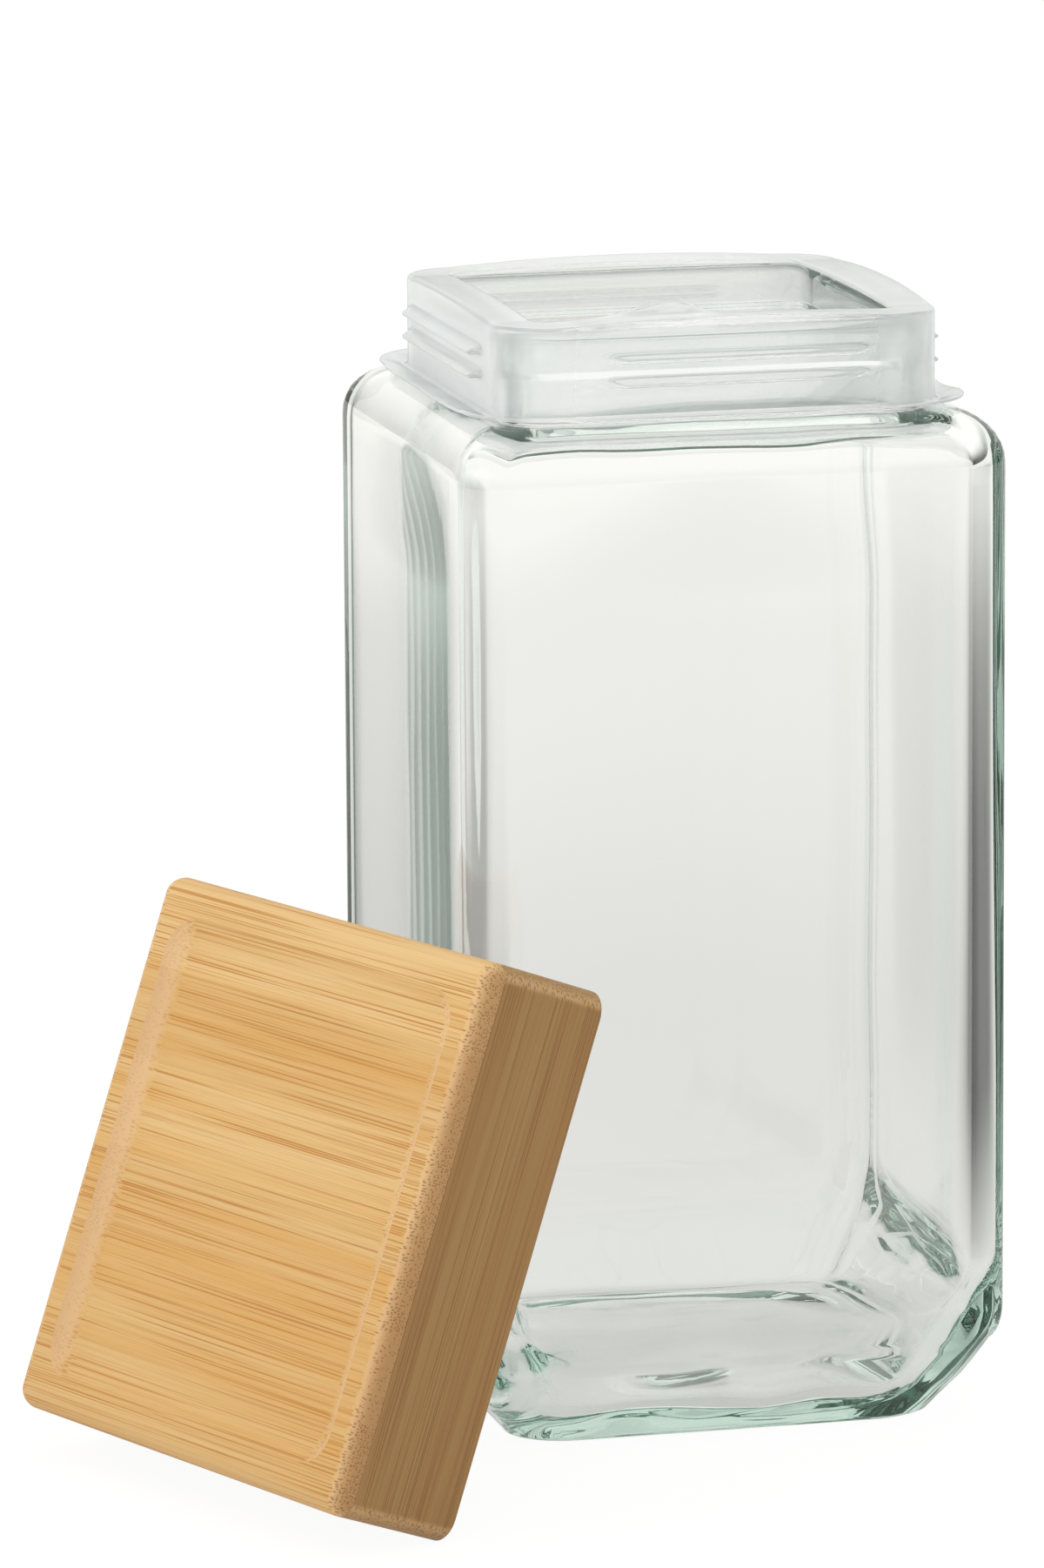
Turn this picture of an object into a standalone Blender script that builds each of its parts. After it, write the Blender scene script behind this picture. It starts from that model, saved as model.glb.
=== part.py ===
"""Square glass storage jar with a soft sleeve on its neck, and a two-ply bamboo lid that leans on it.

The jar stands on its foot with its front wall facing -Y. The lid is off: it stands on one lower edge
and its upper edge rests on the jar's front left upright corner.
Lengths are in metres and angles in degrees. +Z is up, and the floor is at zero.
"""
import math

import bmesh
import bpy
from mathutils import Euler, Vector

# Glass body
BODY_SIDE = 0.110
BODY_CORNER = 0.008
BODY_WALL = 0.004
BODY_INNER_CORNER = 0.007
SHOULDER_HEIGHT = 0.202
SHOULDER_ROUND = 0.010
SHOULDER_WALL = 0.0044
SHOULDER_INNER_ROUND = 0.008

# Foot of the glass body: a smaller flat square under a sloping band, with a shallow push-up inside it
FOOT_SIDE = 0.0844
FOOT_ROUND = 0.003
BAND_RISE = 0.0194
BAND_ROUND = 0.016
BAND_INNER_ROUND = 0.014
FLOOR_WALL = 0.009
FLOOR_ROUND = 0.006
FLOOR_INSET = 0.009
BAND_INNER_RISE = 0.0135
PUSH_UP_HEIGHT = 0.0015
STAND_WIDTH = 0.0082
PUSH_UP_CORNER = 0.031
PUSH_UP_SLOPE = 0.012
PUSH_UP_ROUND = 0.008

# Glass neck, with a bead round its rim
NECK_SIDE = 0.081
NECK_CORNER = 0.0072
NECK_FILLET = 0.0012
NECK_HEIGHT = 0.0178
RIM_ROUND = 0.002
BEAD_STEP = 0.0018
BEAD_HEIGHT = 0.0088
BEAD_ROUND = 0.0006
NECK_WALL = 0.0035
MOUTH_CORNER = 0.004
MOUTH_ROUND = 0.002

# Soft sleeve over the neck
FIT_GAP = 0.0003
SLEEVE_WALL = 0.0019
SLEEVE_ROUND = 0.0008
LIP_THICK = 0.001
LIP_OVERHANG = 0.0012
LIP_CORNER = 0.003
LIP_CROWN = 0.0011
LIP_BULGE = 0.0007
LIP_EDGE_CROWN = 0.0006
LIP_WAVE_HEIGHT = 0.0029
LIP_WAVE_PLACE = -0.011
LIP_WAVE_RISE = 0.0105
LIP_WAVE_FALL = 0.0055
FLANGE_REACH = 0.0058
FLANGE_THICK = 0.0009
FLANGE_LIFT = 0.0003
FIN_COUNT = 2
FIN_FIRST = 0.0054
FIN_PITCH = 0.0046
FIN_REACH = 0.0025
FIN_ROOT = 0.0018
FIN_EDGE = 0.0006
FIN_DROOP = 0.0012
FIN_TAPER = 0.004
FRONT_FIN = (-0.0245, 0.029)
SIDE_FIN = (-0.0332, 0.0285)
STATION_STEP = 0.007

# Bamboo lid: a cross-grain ply with the stacking recess, glued on a block with the pocket
LID_WALL = 0.0083
LID_THICK = 0.0293
LID_CORNER = 0.004
LID_ROUND = 0.004
LID_UNDER_ROUND = 0.0012
PLY_THICK = 0.0042
GLUE_LINE = 0.0003
RECESS_DEPTH = 0.0025
RECESS_COVE = 0.0059
RECESS_CORNER = 0.007
NEST_GAP = 0.0028
POCKET_GAP = 0.0012
POCKET_HEADROOM = 0.0016
POCKET_CORNER = 0.0115
POCKET_CEILING_ROUND = 0.003
CUT_OVERRUN = 0.004

# How the lid leans on the jar
LID_TURN = 67.2
LID_LEAN = 20.8
LEAN_GAP = 0.0003
LEAN_OFFSET = 0.0077

# Counts that set how finely the round forms are cut
CORNER_STEPS = 7
FILLET_STEPS = 5
COVE_STEPS = 12

# Largest share of a wall or ply that a round on its edge may take
ROUND_SHARE = 0.94

MATERIALS = {
    "glass": {"color": (0.80, 0.90, 0.86, 1.0), "roughness": 0.03, "metallic": 0.0, "alpha": 0.35},
    "sleeve": {"color": (0.90, 0.94, 0.96, 1.0), "roughness": 0.35, "metallic": 0.0, "alpha": 0.55},
    "bamboo_ply": {"color": (0.78, 0.53, 0.27, 1.0), "roughness": 0.5, "metallic": 0.0, "alpha": 1.0},
    "bamboo_block": {"color": (0.62, 0.41, 0.20, 1.0), "roughness": 0.55, "metallic": 0.0, "alpha": 1.0},
}


def clear_scene():
    """Remove every object that the scene holds."""
    for existing in list(bpy.data.objects):
        bpy.data.objects.remove(existing, do_unlink=True)


def make_material(name):
    """A plain Principled material with the finish listed above."""
    finish = MATERIALS[name]
    material = bpy.data.materials.new(name)
    material.use_nodes = True
    shader = material.node_tree.nodes["Principled BSDF"]
    shader.inputs["Base Color"].default_value = finish["color"]
    shader.inputs["Roughness"].default_value = finish["roughness"]
    shader.inputs["Metallic"].default_value = finish["metallic"]
    shader.inputs["Alpha"].default_value = finish["alpha"]
    material.diffuse_color = finish["color"]
    return material


def rounded_profile(corners, steps=FILLET_STEPS):
    """Cut arcs into a profile of (half width, height, plan corner, arc radius) corners.

    The first and last corners stay as they are. The result has (half width, height, plan corner) points,
    and the plan corner changes evenly along each run.
    """
    points = [Vector(corner[:3]) for corner in corners]
    setbacks = [0] * len(points)
    half_angles = [0] * len(points)
    for index in range(1, len(corners) - 1):
        back = (points[index - 1] - points[index]).to_2d()
        ahead = (points[index + 1] - points[index]).to_2d()
        half_angles[index] = back.angle(ahead) / 2
        setbacks[index] = corners[index][3] / math.tan(half_angles[index])
    run_shares = []
    for index in range(len(points) - 1):
        run = (points[index + 1] - points[index]).to_2d().length
        wanted = setbacks[index] + setbacks[index + 1]
        run_shares.append(ROUND_SHARE * run / wanted if wanted > ROUND_SHARE * run else 1)
    profile = [points[0]]
    for index in range(1, len(corners) - 1):
        here = points[index]
        back = points[index - 1] - here
        ahead = points[index + 1] - here
        back_run = back.to_2d().length
        ahead_run = ahead.to_2d().length
        half_angle = half_angles[index]
        setback = setbacks[index] * min(run_shares[index - 1], run_shares[index])
        radius = setback * math.tan(half_angle)
        start = here + back * (setback / back_run)
        end = here + ahead * (setback / ahead_run)
        middle = (start + end) / 2
        toward = Vector((middle.x - here.x, middle.y - here.y))
        centre = Vector((here.x, here.y)) + toward.normalized() * (radius / math.sin(half_angle))
        first = math.atan2(start.y - centre.y, start.x - centre.x)
        turn = math.atan2(end.y - centre.y, end.x - centre.x) - first
        turn = (turn + math.pi) % (2 * math.pi) - math.pi
        for step in range(steps + 1):
            share = step / steps
            angle = first + turn * share
            across = centre.x + radius * math.cos(angle)
            height = centre.y + radius * math.sin(angle)
            profile.append(Vector((across, height, start.z + (end.z - start.z) * share)))
    profile.append(points[-1])
    return profile


def square_ring(half, height, corner, stations, outset=None, raise_by=None):
    """One level of a square piece with rounded corners, as points that run anticlockwise from above.

    Each side has its own stations, from -1 to 1 along its straight run. The outset and raise_by functions
    take the side and the station, and move a side's points outwards or up.
    """
    points = []
    straight = half - corner
    for side in range(4):
        facing = Vector((math.sin(side * math.pi / 2), -math.cos(side * math.pi / 2), 0))
        along = Vector((-facing.y, facing.x, 0))
        for station in stations[side]:
            out = half + (outset(side, station) if outset else 0)
            up = height + (raise_by(side, station) if raise_by else 0)
            points.append(facing * out + along * (straight * station) + Vector((0, 0, up)))
        for step in range(1, CORNER_STEPS):
            angle = step / CORNER_STEPS * math.pi / 2
            spoke = facing * math.cos(angle) + along * math.sin(angle)
            points.append((facing + along) * straight + spoke * corner + Vector((0, 0, height)))
    return points


def ring_solid(name, rings, material, collection, parent, looped=False):
    """Skin a stack of rings into one closed body. A looped stack joins its last ring to its first."""
    mesh = bpy.data.meshes.new(name)
    work = bmesh.new()
    levels = [[work.verts.new(point) for point in ring] for ring in rings]
    count = len(levels[0])
    pairs = list(zip(levels, levels[1:]))
    if looped:
        pairs.append((levels[-1], levels[0]))
    else:
        work.faces.new(reversed(levels[0]))
        work.faces.new(levels[-1])
    for lower, upper in pairs:
        for index in range(count):
            following = (index + 1) % count
            work.faces.new((lower[index], lower[following], upper[following], upper[index]))
    bmesh.ops.recalc_face_normals(work, faces=work.faces)
    work.to_mesh(mesh)
    work.free()
    mesh.shade_smooth()
    mesh.set_sharp_from_angle(angle=math.radians(35))
    mesh.materials.append(material)
    piece = bpy.data.objects.new(name, mesh)
    piece.parent = parent
    collection.objects.link(piece)
    return piece


def plain_stations():
    """Stations of a piece whose sides are all straight."""
    return [(-1.0, 0.0, 1.0)] * 4


def rim_height():
    """Height of the glass rim over the ground."""
    return SHOULDER_HEIGHT + NECK_HEIGHT


def mouth_half():
    """Half width of the glass mouth."""
    return NECK_SIDE / 2 - NECK_WALL


def glass_rings():
    """Levels of the jar, from the push-up out over the foot and body, over the rim, and down inside."""
    rim = rim_height()
    foot = FOOT_SIDE / 2
    body = BODY_SIDE / 2
    neck = NECK_SIDE / 2
    bead = neck + BEAD_STEP
    bead_corner = NECK_CORNER + BEAD_STEP
    bead_base = rim - BEAD_HEIGHT
    mouth = mouth_half()
    inside = body - BODY_WALL
    ceiling = SHOULDER_HEIGHT - SHOULDER_WALL
    stand = foot - STAND_WIDTH
    crest = stand - PUSH_UP_SLOPE
    crest_corner = PUSH_UP_CORNER * crest / stand
    corners = [
        (crest / 2, PUSH_UP_HEIGHT, crest_corner / 2, 0),
        (crest, PUSH_UP_HEIGHT, crest_corner, PUSH_UP_ROUND),
        (stand, 0, PUSH_UP_CORNER, PUSH_UP_ROUND),
        (foot, 0, BODY_CORNER, FOOT_ROUND),
        (body, BAND_RISE, BODY_CORNER, BAND_ROUND),
        (body, SHOULDER_HEIGHT, BODY_CORNER, SHOULDER_ROUND),
        (neck, SHOULDER_HEIGHT, NECK_CORNER, NECK_FILLET),
        (neck, bead_base, NECK_CORNER, BEAD_ROUND),
        (bead, bead_base + BEAD_STEP / 2, bead_corner, BEAD_ROUND),
        (bead, rim, bead_corner, RIM_ROUND),
        (mouth, rim, MOUTH_CORNER, RIM_ROUND),
        (mouth, ceiling, MOUTH_CORNER, MOUTH_ROUND),
        (inside, ceiling, BODY_INNER_CORNER, SHOULDER_INNER_ROUND),
        (inside, FLOOR_WALL + BAND_INNER_RISE, BODY_INNER_CORNER, BAND_INNER_ROUND),
        (inside - FLOOR_INSET, FLOOR_WALL, BODY_INNER_CORNER, FLOOR_ROUND),
        (foot / 2, FLOOR_WALL, BODY_INNER_CORNER, 0),
    ]
    stations = plain_stations()
    return [square_ring(p.x, p.y, p.z, stations) for p in rounded_profile(corners)]


def sleeve_sizes():
    """Half widths and heights of the sleeve, which fits over the bead and rests on rim and shoulder."""
    inner = NECK_SIDE / 2 + BEAD_STEP + FIT_GAP
    outer = inner + SLEEVE_WALL
    corner = NECK_CORNER + BEAD_STEP + FIT_GAP + SLEEVE_WALL
    return {
        "inner": inner,
        "outer": outer,
        "corner": corner,
        "inner_corner": corner - SLEEVE_WALL,
        "opening": mouth_half() - LIP_OVERHANG,
        "under_lip": rim_height() + FIT_GAP,
        "top": rim_height() + FIT_GAP + LIP_THICK,
        "foot": SHOULDER_HEIGHT + FIT_GAP,
        "flange": outer + FLANGE_REACH,
    }


def filled(keys, step):
    """The key places with more between them, so that no two are further apart than about one step."""
    places = [keys[0]]
    for start, end in zip(keys, keys[1:]):
        pieces = max(1, round((end - start) / step))
        places += [start + (end - start) * piece / pieces for piece in range(1, pieces + 1)]
    return places


def fin_of_side(side):
    """Start and end of the fins on a side. The front and back sides are alike, and so are the other two."""
    return FRONT_FIN if side % 2 == 0 else SIDE_FIN


def sleeve_stations(straight):
    """Stations that follow the ends and tapers of each side's fins."""
    stations = []
    for side in range(4):
        start, end = fin_of_side(side)
        keys = [-straight, start, start + FIN_TAPER, end - FIN_TAPER, end, straight]
        kept = [keys[0]]
        for key in keys[1:]:
            if key - kept[-1] > FIN_EDGE:
                kept.append(key)
        stations.append([place / straight for place in filled(kept, STATION_STEP)])
    return stations


def sleeve_rings():
    """Levels of the sleeve, from under its flange up the outside with its fins, and down the inside."""
    size = sleeve_sizes()
    straight = size["outer"] - size["corner"]

    def fin_share(side, station):
        start, end = fin_of_side(side)
        place = station * straight
        return max(0.0, min(1.0, (place - start) / FIN_TAPER, (end - place) / FIN_TAPER))

    def crown(side, station):
        return LIP_CROWN * (1 - station * station)

    def bulge(side, station):
        return LIP_BULGE * (1 - station * station)

    def lip_edge(side, station):
        rise = LIP_EDGE_CROWN * (1 - station * station)
        if side == 0:
            distance = station * straight - LIP_WAVE_PLACE
            distance /= LIP_WAVE_RISE if distance < 0 else LIP_WAVE_FALL
            rise += LIP_WAVE_HEIGHT * math.exp(-distance * distance)
        return rise

    stations = sleeve_stations(straight)
    rings = []

    def level(half, height, corner, outset=None, raise_by=None):
        rings.append(square_ring(half, height, corner, stations, outset, raise_by))

    flange_corner = size["corner"] + FLANGE_REACH
    level(size["inner"], size["foot"], size["inner_corner"])
    level(size["flange"] - FLANGE_THICK / 2, size["foot"] + FLANGE_LIFT, flange_corner - FLANGE_THICK / 2)
    level(size["flange"], size["foot"] + FLANGE_LIFT + FLANGE_THICK / 2, flange_corner)
    level(size["flange"] - FLANGE_THICK / 2, size["foot"] + FLANGE_LIFT + FLANGE_THICK,
          flange_corner - FLANGE_THICK / 2)
    level(size["outer"] + SLEEVE_ROUND, size["foot"] + FLANGE_THICK, size["corner"] + SLEEVE_ROUND)
    level(size["outer"], size["foot"] + FLANGE_THICK + SLEEVE_ROUND, size["corner"])
    for fin in reversed(range(FIN_COUNT)):
        root_top = size["top"] - FIN_FIRST - fin * FIN_PITCH
        edge_heights = (root_top - FIN_ROOT, root_top - FIN_ROOT * 2 / 3, root_top - FIN_ROOT / 3, root_top)
        edge_top = root_top - FIN_DROOP
        tip_heights = (None, edge_top - FIN_EDGE, edge_top, None)
        for flush, tip in zip(edge_heights, tip_heights):
            if tip is None:
                level(size["outer"], flush, size["corner"])
            else:
                level(
                    size["outer"], flush, size["corner"],
                    outset=lambda side, station: FIN_REACH * fin_share(side, station),
                    raise_by=lambda side, station, rise=tip - flush: rise * fin_share(side, station),
                )
    level(size["outer"], size["top"] - SLEEVE_ROUND, size["corner"], outset=bulge, raise_by=crown)
    level(size["outer"] - SLEEVE_ROUND, size["top"], size["corner"] - SLEEVE_ROUND, outset=bulge, raise_by=crown)
    middle = (size["outer"] + size["opening"]) / 2
    middle_corner = (size["corner"] + LIP_CORNER) / 2
    level(middle, size["top"], middle_corner, raise_by=lambda side, station: crown(side, station)
          + lip_edge(side, station) / 4)
    level(size["opening"], size["top"], LIP_CORNER, raise_by=lip_edge)
    level(size["opening"], size["under_lip"], LIP_CORNER, raise_by=lip_edge)
    level(middle, size["under_lip"], middle_corner, raise_by=lambda side, station: crown(side, station)
          + lip_edge(side, station) / 4)
    level(size["inner"], size["under_lip"], size["inner_corner"])
    return rings


def recess_half():
    """Half width of the recess, which takes the foot of a jar that stands on the lid."""
    slope = (BODY_SIDE - FOOT_SIDE) / 2 / BAND_RISE
    return FOOT_SIDE / 2 + slope * RECESS_DEPTH + NEST_GAP


def pocket_half():
    """Half width of the pocket, which goes over the sleeve's wall and squeezes only its fins."""
    return sleeve_sizes()["outer"] + POCKET_GAP


def lid_half():
    """Half width of the lid, whose rim is a wall round the pocket."""
    return pocket_half() + LID_WALL


def cove_radius():
    """Radius of the hollow that runs round the recess, from its width and the recess's depth."""
    return (RECESS_COVE ** 2 + RECESS_DEPTH ** 2) / (2 * RECESS_DEPTH)


def rounded_box(name, half, low, high, corner, edge_round, edge_height, edge_steps, collection):
    """A square box with rounded uprights, and one of its flat faces has a rounded edge."""
    mesh = bpy.data.meshes.new(name)
    work = bmesh.new()
    bmesh.ops.create_cube(work, size=1)
    bmesh.ops.scale(work, vec=(half * 2, half * 2, high - low), verts=work.verts)
    bmesh.ops.translate(work, vec=(0, 0, (high + low) / 2), verts=work.verts)
    uprights = [edge for edge in work.edges if edge.verts[0].co.z != edge.verts[1].co.z]
    bmesh.ops.bevel(work, geom=uprights, offset=corner, segments=CORNER_STEPS, profile=0.5, affect="EDGES")
    flat = min(work.faces, key=lambda face: abs(face.calc_center_median().z - edge_height))
    bmesh.ops.bevel(work, geom=list(flat.edges), offset=edge_round, segments=edge_steps, profile=0.5,
                    affect="EDGES")
    work.to_mesh(mesh)
    work.free()
    mesh.shade_smooth()
    mesh.set_sharp_from_angle(angle=math.radians(35))
    box = bpy.data.objects.new(name, mesh)
    collection.objects.link(box)
    return box


def cut_away(piece, cutter):
    """Take the cutter's shape out of a piece, and keep the cutter as a hidden guide."""
    cutter.parent = piece
    cutter.hide_render = True
    cutter.display_type = "WIRE"
    cut = piece.modifiers.new(cutter.name, "BOOLEAN")
    cut.operation = "DIFFERENCE"
    cut.solver = "EXACT"
    cut.object = cutter


def add_ply(collection, cutters, parent):
    """The top ply, whose upper edge is rounded and whose face has the coved recess."""
    seam = LID_THICK - PLY_THICK + GLUE_LINE
    edge_round = min(LID_ROUND, ROUND_SHARE * (LID_THICK - seam), ROUND_SHARE * LID_CORNER)
    ply = rounded_box("lid_top_ply", lid_half(), seam, LID_THICK, LID_CORNER, edge_round, LID_THICK,
                      FILLET_STEPS, collection)
    ply.parent = parent
    ply.data.materials.append(make_material("bamboo_ply"))
    radius = cove_radius()
    spread = radius - RECESS_COVE
    floor = LID_THICK - RECESS_DEPTH
    recess = rounded_box("recess_cutter", recess_half() + spread, floor, floor + radius + CUT_OVERRUN,
                         RECESS_CORNER + spread, radius, floor, COVE_STEPS, cutters)
    cut_away(ply, recess)


def add_block(collection, cutters, parent):
    """The block under the ply, with the pocket that goes over the sleeve."""
    size = sleeve_sizes()
    block = rounded_box("lid_block", lid_half(), 0, LID_THICK - PLY_THICK, LID_CORNER, LID_UNDER_ROUND, 0,
                        FILLET_STEPS, collection)
    block.parent = parent
    block.data.materials.append(make_material("bamboo_block"))
    depth = size["top"] - size["foot"] + POCKET_HEADROOM
    pocket = rounded_box("pocket_cutter", pocket_half(), -CUT_OVERRUN, depth, POCKET_CORNER,
                         POCKET_CEILING_ROUND, depth, FILLET_STEPS, cutters)
    cut_away(block, pocket)


def lid_pose():
    """Rotation and place of the lid's underside centre beside a jar that stands at the centre."""
    lean = math.radians(LID_LEAN)
    turn = math.radians(LID_TURN)
    rotation = Euler((math.pi / 2 - lean, 0, -turn), "XYZ")
    along = Vector((math.cos(turn), -math.sin(turn), 0))
    away = Vector((-math.sin(turn), -math.cos(turn), 0))
    edge_axis = Vector((-1, -1, 0)) * (BODY_SIDE / 2 - BODY_CORNER)
    reach = lid_half() - LID_UNDER_ROUND
    touching = edge_axis.dot(away) + BODY_CORNER + LEAN_GAP
    outward = touching + LID_UNDER_ROUND * (1 - math.cos(lean)) + math.sin(lean) * reach
    height = LID_UNDER_ROUND * (1 - math.sin(lean)) + math.cos(lean) * reach
    sideways = edge_axis.dot(along) - LEAN_OFFSET
    return rotation, along * sideways + away * outward + Vector((0, 0, height))


def set_centre():
    """Middle of the ground that the jar and its lid cover, measured from the jar's axis."""
    rotation, place = lid_pose()
    body = BODY_SIDE / 2
    low = Vector((-body, -body, 0))
    high = Vector((body, body, 0))
    for across in (-1, 1):
        for up in (-1, 1):
            for height, edge in ((LID_UNDER_ROUND, LID_UNDER_ROUND), (LID_THICK - LID_ROUND, LID_ROUND)):
                reach = lid_half() - edge
                corner = place + rotation.to_matrix() @ Vector((across * reach, up * reach, height))
                for axis in range(2):
                    low[axis] = min(low[axis], corner[axis] - edge)
                    high[axis] = max(high[axis], corner[axis] + edge)
    return (low + high) / 2


def add_empty(name, collection, place, rotation=None):
    """An empty that carries the pieces of one moving or standing group."""
    empty = bpy.data.objects.new(name, None)
    empty.empty_display_size = FOOT_SIDE / 2
    empty.location = place
    if rotation:
        empty.rotation_euler = rotation
    collection.objects.link(empty)
    return empty


def build():
    """Make the four pieces and put them where they stand."""
    clear_scene()
    collection = bpy.data.collections.new("storage_jar")
    bpy.context.scene.collection.children.link(collection)
    cutters = bpy.data.collections.new("storage_jar_cutters")
    bpy.context.scene.collection.children.link(cutters)
    centre = set_centre()
    rotation, place = lid_pose()
    jar_stand = add_empty("jar_stand", collection, -centre)
    lid_lean = add_empty("lid_lean", collection, place - centre, rotation)
    ring_solid("glass_jar", glass_rings(), make_material("glass"), collection, jar_stand)
    ring_solid("seal_sleeve", sleeve_rings(), make_material("sleeve"), collection, jar_stand, looped=True)
    add_ply(collection, cutters, lid_lean)
    add_block(collection, cutters, lid_lean)


build()
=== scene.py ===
"""Square glass storage jar with a milky neck sleeve and a leaning bamboo lid, dressed over its fixed frame.

Everything is in metres, +Z is up, and the jar's front wall faces -Y.
"""
import math

import bmesh
import bpy
from mathutils import Euler, Matrix, Vector, noise


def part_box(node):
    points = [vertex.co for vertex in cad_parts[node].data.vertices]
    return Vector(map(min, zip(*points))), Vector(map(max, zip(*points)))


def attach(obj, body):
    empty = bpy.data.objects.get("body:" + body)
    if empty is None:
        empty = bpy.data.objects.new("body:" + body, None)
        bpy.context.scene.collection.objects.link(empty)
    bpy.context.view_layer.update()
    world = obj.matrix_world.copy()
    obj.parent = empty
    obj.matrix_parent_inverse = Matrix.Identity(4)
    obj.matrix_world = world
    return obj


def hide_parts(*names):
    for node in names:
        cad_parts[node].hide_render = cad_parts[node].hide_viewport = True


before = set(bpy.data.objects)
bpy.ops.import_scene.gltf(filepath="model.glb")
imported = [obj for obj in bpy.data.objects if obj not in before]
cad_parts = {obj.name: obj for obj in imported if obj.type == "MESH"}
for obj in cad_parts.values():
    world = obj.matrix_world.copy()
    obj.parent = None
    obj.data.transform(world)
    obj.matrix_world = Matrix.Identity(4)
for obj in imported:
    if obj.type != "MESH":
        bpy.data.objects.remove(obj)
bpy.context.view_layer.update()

# The jar is one piece of pressed soda-lime glass, square in plan, with a band that slopes in to a smaller
# foot. Its outside copies the mould, and its inside, which the plunger and air form, is softer and uneven.
jar_low, jar_high = (Vector(corner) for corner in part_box("glass_jar"))
jar_axis = Vector(((jar_low.x + jar_high.x) / 2, (jar_low.y + jar_high.y) / 2, jar_low.z))
body_half = (jar_high.x - jar_low.x) / 2
rim_height = jar_high.z - jar_low.z
body_corner = 0.0083
body_wall = 0.0036
body_inner_corner = 0.0085
wall_swell = (0.0014, 0.0004, 0.0008, 0.0020)
swell_fade = 0.030
swell_drift = 0.22
drift_across = 0.06
drift_up = 0.045
wall_apart = 9.0
shoulder_height = 0.202
shoulder_round = 0.010
shoulder_wall = 0.0038
shoulder_inner_round = 0.0068
foot_half = 0.0422
foot_round = 0.003
band_rise = 0.0194
band_round = 0.016
band_inner_round = 0.024
floor_wall = 0.0070
floor_round = 0.008
floor_inset = 0.0132
band_inner_rise = 0.0200
push_up_height = 0.0015
stand_width = 0.0082
push_up_slope = 0.012
push_up_round = 0.008
push_up_corner_share = 0.92
push_up_middle_parts = 3
push_up_middle_corner_parts = 3.2
floor_middle_parts = 4
floor_middle_corner_parts = 5
neck_half = 0.0405
neck_corner = 0.0072
neck_fillet = 0.0015
neck_wall = 0.0035
bead_step = 0.0018
bead_height = 0.0088
bead_round = 0.0007
rim_round = 0.0019
mouth_corner = 0.0045
mouth_round = 0.003
jar_ring_step = 0.004
jar_stations = 34
jar_corner_steps = 14
jar_arc_steps = 8
inner_face_share = 0.7
streak_size = Vector((0.030, 0.030, 0.150))
streak_depth = 0.00022
swirl_size = 0.016
swirl_depth = 0.0011
swirl_least_share = 0.3
foot_swirl_reach = band_rise * 1.6
shoulder_swirl_depth = 0.00012
shoulder_swirl_reach = 0.014
orange_peel_scale = (160.0, 160.0, 60.0)
glass_tint = (0.54, 0.71, 0.64, 1.0)
glass_density = 16.0


def fillet_profile(corners, arc_steps, run_step):
    """Round the corners of a profile of (half width, height, plan corner, arc radius), and fill its long runs.

    Where the arcs at the two ends of a run need more than most of it, both shrink.
    """
    most_share = 0.96
    points = [Vector(corner[:3]) for corner in corners]
    setbacks = [0.0] * len(points)
    halves = [0.0] * len(points)
    for index in range(1, len(points) - 1):
        back = (points[index - 1] - points[index]).to_2d()
        ahead = (points[index + 1] - points[index]).to_2d()
        halves[index] = back.angle(ahead) / 2
        setbacks[index] = corners[index][3] / math.tan(halves[index])
    scale = []
    for index in range(len(points) - 1):
        run = (points[index + 1] - points[index]).to_2d().length
        wanted = setbacks[index] + setbacks[index + 1]
        scale.append(most_share * run / wanted if wanted > most_share * run else 1.0)
    profile = [points[0]]
    for index in range(1, len(points) - 1):
        here = points[index]
        back = points[index - 1] - here
        ahead = points[index + 1] - here
        setback = setbacks[index] * min(scale[index - 1], scale[index])
        start = here + back * (setback / back.to_2d().length)
        end = here + ahead * (setback / ahead.to_2d().length)
        profile.append(start)
        if setback == 0:
            continue
        radius = setback * math.tan(halves[index])
        toward = ((start + end) / 2 - here).to_2d().normalized()
        centre = here.to_2d() + toward * (radius / math.sin(halves[index]))
        first = math.atan2(start.y - centre.y, start.x - centre.x)
        turn = math.atan2(end.y - centre.y, end.x - centre.x) - first
        turn = (turn + math.pi) % (2 * math.pi) - math.pi
        for step in range(1, arc_steps + 1):
            share = step / arc_steps
            angle = first + turn * share
            profile.append(Vector((centre.x + radius * math.cos(angle), centre.y + radius * math.sin(angle),
                                   start.z + (end.z - start.z) * share)))
    profile.append(points[-1])
    filled = [profile[0]]
    for start, end in zip(profile, profile[1:]):
        pieces = max(1, math.ceil((end - start).to_2d().length / run_step))
        filled += [start.lerp(end, piece / pieces) for piece in range(1, pieces + 1)]
    return filled


def square_level(half, height, corner, stations, corner_steps, outset=None, lift=None):
    """Points of one level of a square piece, anticlockwise from above, from its front left.

    The outset and lift functions take the side and the station, and move the side's points out or up.
    """
    points = []
    straight = half - corner
    for side in range(4):
        facing = Vector((round(math.sin(side * math.pi / 2)), -round(math.cos(side * math.pi / 2)), 0))
        along = Vector((-facing.y, facing.x, 0))
        for station in stations[side]:
            out = half + (outset(side, station) if outset else 0)
            up = height + (lift(side, station) if lift else 0)
            points.append(facing * out + along * (straight * station) + Vector((0, 0, up)))
        for step in range(1, corner_steps):
            share = step / corner_steps
            angle = share * math.pi / 2
            spoke = facing * math.cos(angle) + along * math.sin(angle)
            up = height
            if lift:
                up += lift(side, 1.0) * (1 - share) + lift((side + 1) % 4, -1.0) * share
            points.append((facing + along) * straight + spoke * corner + Vector((0, 0, up)))
    return points


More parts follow.
